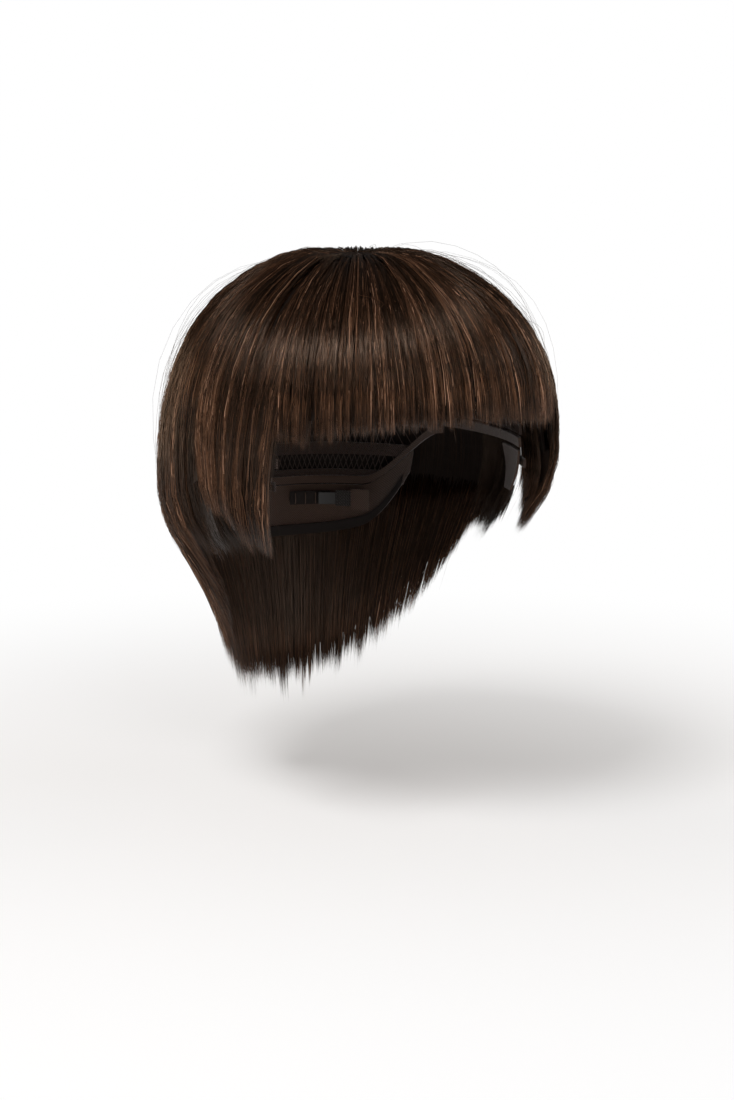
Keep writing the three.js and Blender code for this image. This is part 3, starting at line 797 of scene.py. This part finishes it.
# Ear tabs and their stays: edges as turns at the top and how far they shift by the end, heights in metres,
# and the distances out from the head in millimetres
earTab = {"front": (64, 4), "rear": (80, -6), "top": -0.0802, "fall": 0.0208, "near": 0.3, "far": 1.3}
earStay = {"turns": (68.1, 69.9), "top": -0.0817, "end": -0.0985, "near": 1.6, "far": 2.1}
for side, sign in {"left": 1, "right": -1}.items():
    body = "tab_" + side
    v = np.linspace(0, 1, 14)[None, :]
    u = np.linspace(0, 1, 16)[:, None]
    front, rear = (earTab[k][0] + earTab[k][1] * v for k in ("front", "rear"))
    turn = sign * (front * (1 - u) + rear * u)
    down = downTo(headForm, turn, earTab["top"] - earTab["fall"] * v + 0 * u)
    outer, inner = (formPoint(headForm, turn, down, earTab[k] * mm) for k in ("far", "near"))
    points, faces, uv = gridShell(outer, inner)
    tail = side.capitalize()
    newPiece("earTab" + tail, points, faces, laceMaterial, body, ["ear_tab_" + side], {"clothMap": uv})
    turns = tuple(sorted(sign * turn for turn in earStay["turns"]))
    addCloth(
        "earStay" + tail, turns, headDown(earStay["top"]), headDown(earStay["end"]), earStay["near"],
        earStay["far"], steelMaterial, body, ["ear_stay_" + side], 0.6,
    )

# Nape adjusters: straps on a circle about a point inside the head, in metres
arc = {"x": -0.0043, "y": 0.0309, "radius": 0.0582, "z": -0.119, "width": 0.008, "rib": 0.00012}
# Each part's angles, its distances out from the arc in millimetres, how much wider it is than the strap in
# metres, and its ribs and steps
adjuster = {
    "strap": {"angles": (54, 36), "out": (-4.1, -3.35), "wider": 0.0, "ribs": 14, "steps": 60},
    "strapHook": {"angles": (35.9, 26.4), "out": (-4.4, -3.7), "wider": -0.0018, "ribs": 0, "steps": 30},
    "strapHookLip": {"angles": (28.2, 26.4), "out": (-3.7, -3.0), "wider": -0.0018, "ribs": 0, "steps": 8},
    "loopTape": {"angles": (11, 33), "out": (-1.9, -1.35), "wider": -0.001, "ribs": 0, "steps": 60},
    "strapCasing": {"angles": (56, 45), "out": (-5.3, -4.7), "wider": 0.003, "ribs": 0, "steps": 24},
}
# Loops sewn across the tape for the hook: first angle and spacing in degrees, the rest in metres
tapeLoop = {
    "first": 11, "apart": 5.5, "count": 4, "sunk": 0.0019, "rise": 0.0007, "length": 0.0062, "thread": 0.0003,
}


def arcGrid(sign, part):
    # A strip bent round the arc's middle: the radius along the sine and cosine of the angle, with cosine ribs
    steps, ribs = part["steps"], part["ribs"]
    width = arc["width"] + part["wider"]
    angle = np.radians(np.linspace(*part["angles"], steps))[:, None]
    z = np.linspace(arc["z"] - width / 2, arc["z"] + width / 2, 9)[None, :]
    near, far = part["out"]
    grids = []
    for r, way in ((far, 1), (near, -1)):
        rib = way * arc["rib"] * np.cos(ribs * np.linspace(0, 2 * np.pi, steps))[:, None] * (ribs > 0)
        radius = arc["radius"] + r * mm + rib
        x = sign * (arc["x"] + radius * np.sin(angle))
        y = arc["y"] + radius * np.cos(angle)
        grids.append(np.stack([x + 0 * z, y + 0 * z, z + 0 * x], -1))
    return gridShell(*grids)


def addArc(name, side, sign, material, body, nodes=()):
    points, faces, uv = arcGrid(sign, adjuster[name])
    newPiece(name + side.capitalize(), points, faces, material, body, nodes, {"clothMap": uv})


for side, sign in {"left": 1, "right": -1}.items():
    body = "adjuster_" + side
    addArc("strap", side, sign, elasticMaterial, body, ["strap_" + side])
    addArc("strapHook", side, sign, mouldedMaterial, body, ["strap_hook_" + side])
    addArc("strapHookLip", side, sign, mouldedMaterial, body)
    addArc("loopTape", side, sign, ribbonMaterial, "wig", ["loop_tape_" + side])
    angle = np.radians(tapeLoop["first"] + tapeLoop["apart"] * (np.arange(tapeLoop["count"]) + 0.5))[:, None]
    t = np.linspace(0, 1, 14)[None, :]
    radius = arc["radius"] - tapeLoop["sunk"] - tapeLoop["rise"] * np.sin(np.pi * t)
    z = arc["z"] + (t - 0.5) * tapeLoop["length"]
    x = sign * (arc["x"] + radius * np.sin(angle))
    paths = np.stack([x, arc["y"] + radius * np.cos(angle), z + 0 * angle], -1)
    outs = np.stack([sign * np.sin(angle) + 0 * t, np.cos(angle) + 0 * t, 0 * t + 0 * angle], -1)
    radii = np.full(paths.shape[:2], tapeLoop["thread"])
    points, faces, uv = strandTubes(paths, outs, radii, np.full(tapeLoop["count"], 0.5), 1.0)
    name = "tapeLoops" + side.capitalize()
    newPiece(name, points, faces, stitchMaterial, "wig", (), {"OFBake": uv})
    addArc("strapCasing", side, sign, laceMaterial, "wig", ["strap_casing_" + side])

print("ear tabs and adjusters made")

# Shared by every group of strands; lengths in metres, turns in degrees
groom = {
    "strands": 3000, "rings": 8, "clumps": 120, "turns": (0, 1), "roots": (4.0, 44.0), "rootPower": 1.0,
    "ragged": 1.7 * mm, "shorter": (0.12, 9 * mm), "depth": (0.0, 3.0 * mm), "loose": 0.6 * mm,
    "rootDepth": 7 * mm, "tipDepth": 3.0 * mm, "sway": 0.2, "stray": 0.13, "clumpWidth": 0.34,
    "gather": (0.1, 0.65), "radius": (0.08 * mm, 0.15 * mm), "endZ": hairEndZ,
    "lockWidth": 3.4, "pull": (0.05, 0.4), "lockDepth": 1.8 * mm, "lockRagged": 0.8 * mm, "lean": 0.5,
}
quickShare = 1.0


def groomed(**changes):
    plan = {**groom, **changes}
    plan["strands"] = int(plan["strands"] * quickShare)
    return plan


# Fringe, in three overlapping runs across the brow
fringeRuns = {"fringeRight": (-59, -19), "fringeMiddle": (-20, 20), "fringeLeft": (19, 59)}
for i, (name, turns) in enumerate(fringeRuns.items()):
    plan = groomed(strands=3400, clumps=125, turns=turns, endZ=fringeEnd, tipDepth=5 * mm, pull=(0.0, 0.35))
    addStrands(name, plan, "wig", 11 + i)


# Locks in front of the ears: the front edge runs straight down and the ends slant, short at the rear
def lockRoots(sign):
    return lambda tip: sign * (54 + (np.abs(tip) - 65) * 1.9)


def lockEnd(turn):
    t = foldTurn(turn)
    return -0.121 + 0.00135 * np.maximum(t - 67, 0) + 0.0006 * np.maximum(67 - t, 0)


for i, (side, sign) in enumerate({"Right": -1, "Left": 1}.items()):
    turns = (65.0, 82.0) if sign > 0 else (-82.0, -65.0)
    # The strands at the locks' rear edges are painted lighter, a painted highlight
    plan = groomed(
        strands=3200, rings=9, clumps=90, turns=turns, rootTurn=lockRoots(sign), turnPower=4.6, endZ=lockEnd,
        ragged=1.8 * mm, shorter=(0.25, 18 * mm), tipDepth=3 * mm, clumpWidth=0.45, lockWidth=4.0,
        puff=1.8 * mm, lockRagged=2.5 * mm, shadeAt=lambda t: 0.13 * smooth(t, 74, 81),
    )
    lock = addStrands("lockStrands" + side, plan, None, 21 + i)
    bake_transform(lock)


def earDepth(paths, t, turn):
    # Behind the ears the strands lie deeper, tucked in under the rear edges of the locks
    _, out = formFrame(hairForm, turn, np.full(turn.shape, 80.0))
    inward = 0.0075 * (1 - smooth(foldTurn(turn), 86, 106)) * smooth(t, 0.3, 0.62)
    return paths - out * inward[..., None]


for i, (side, sign) in enumerate({"Right": -1, "Left": 1}.items()):
    turns = (80, 128) if sign > 0 else (-128, -80)
    # Painted shadow: the strands just behind the locks are painted darker; further back, past 104 degrees, a
    # little lighter
    plan = groomed(
        strands=3100, rings=11, clumps=130, turns=turns, ragged=3.0 * mm, shorter=(0.35, 30 * mm),
        depth=(0.0, 2.4 * mm), tipDepth=3 * mm, lockWidth=5.0, pull=(0.1, 0.6), shape=earDepth, puff=1.8 * mm,
        shadeAt=lambda t: 0.10 * smooth(t, 104, 112) - 0.50 * (1 - smooth(t, 92, 105)),
    )
    addStrands("earSideStrands" + side, plan, "wig", 31 + i)

# Back and nape, three runs; the ends are cut in layers
backRuns = {"backLeft": (124, 164), "backMiddle": (160, 200), "backRight": (196, 236)}
for i, (name, turns) in enumerate(backRuns.items()):
    plan = groomed(
        strands=2600, rings=12, clumps=110, turns=turns, ragged=4.0 * mm, shorter=(0.4, 50 * mm),
        tipDepth=5 * mm, sway=0.35, clumpWidth=0.5, gather=(0.2, 0.7), lockWidth=5.0, pull=(0.0, 0.45),
        lockRagged=2.5 * mm, puff=3.0 * mm,
    )
    addStrands(name + "Strands", plan, "wig", 41 + i)

# Hair that starts at the whorl and arches out of a small dent
plan = groomed(
    strands=2600, rings=8, clumps=330, turns=(0, 360), roots=(0.3, 7.0), rootPower=0.9, rootDepth=2.2 * mm,
    depth=(0.1 * mm, 1.0 * mm), endZ=lambda t: hairEndZ(t) * 0.55, shorter=(0.6, 30 * mm), lockWidth=9,
    lockDepth=0.5 * mm,
)
addStrands("whorlStrands", plan, "wig", 51)


def addInnerStrands(name, turns, topZ, endZ, strands, seed, tab=None, lightest=0.6):
    # The inner side of the hanging hair, below the cap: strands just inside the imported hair, from a height
    # to a cut end, which gather towards middles about 3 degrees apart
    rng = np.random.default_rng(seed)
    n = int(strands * quickShare)
    t = np.linspace(0, 1, 7)[None, :]
    tip = rng.uniform(*turns, n)
    middles = np.arange(turns[0], turns[1], 3.0)
    middles = middles + rng.uniform(-1, 1, len(middles))
    nearest = middles[np.argmin(np.abs(tip[:, None] - middles[None]), 1)]
    turn = tip[:, None] + rng.normal(0, 0.8, n)[:, None] * t
    turn = turn + ((nearest - tip) * rng.uniform(0, 0.6, n))[:, None] * t**1.5
    z = (topZ + rng.uniform(0, 12, n) * mm)[:, None] * (1 - t)
    z = z + (endZ(tip) + rng.normal(1.5, 3, n) * mm)[:, None] * t
    down = downTo(hairForm, turn, z)
    _, out = formFrame(hairForm, turn, down)
    inward = rng.uniform(0.2, 1.6, n)[:, None] * mm * smooth(t, 0, 0.2)
    paths = hairInside(turn, down) - out * inward[..., None]
    radius = rng.uniform(0.10, 0.16, n)[:, None] * mm * (1 - 0.5 * smooth(t, 0.7, 1.0))
    points, faces, uv = strandTubes(paths, -out, radius, rng.uniform(0.05, lightest, n))
    body = None if tab else "wig"
    piece = newPiece(name, points, faces, strandMaterial, body, (), {"strandMap": uv, "OFBake": uv})
    if tab:
        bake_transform(piece)


addInnerStrands("innerBackLeft", (90, 180), -0.118, hairEndZ, 2100, 71)
addInnerStrands("innerBackRight", (180, 270), -0.118, hairEndZ, 2100, 72)
# The inner strands behind the ears are kept dark, painted shadow of the gap behind the locks
addInnerStrands("innerEarLeft", (84, 100), -0.082, lambda t: hairEndZ(t) + 0.004, 1100, 76, None, 0.15)
addInnerStrands("innerEarRight", (260, 276), -0.082, lambda t: hairEndZ(t) + 0.004, 1100, 77, None, 0.15)
addInnerStrands("innerFringe", (-56, 56), -0.046, fringeEnd, 1500, 73)
addInnerStrands("innerLockLeft", (64, 80), -0.052, lambda t: lockEnd(t) + 0.004, 900, 74, "tab_left")
addInnerStrands("innerLockRight", (-80, -64), -0.052, lambda t: lockEnd(t) + 0.004, 900, 75, "tab_right")

# Single hairs that stand off the dressed surface
plan = groomed(
    strands=260, rings=14, clumps=260, turns=(0, 360), roots=(2, 60), depth=(-1.2 * mm, 0.5 * mm),
    loose=1.0 * mm, stray=3.0, sway=1.5, radius=(0.04 * mm, 0.065 * mm), shorter=(0.8, 70 * mm),
    rootDepth=4 * mm, lockDepth=0.0, lean=6, liftAt=(0.35, 4 * mm),
)
addStrands("looseHairs", plan, "wig", 61)
print("outer strands made")
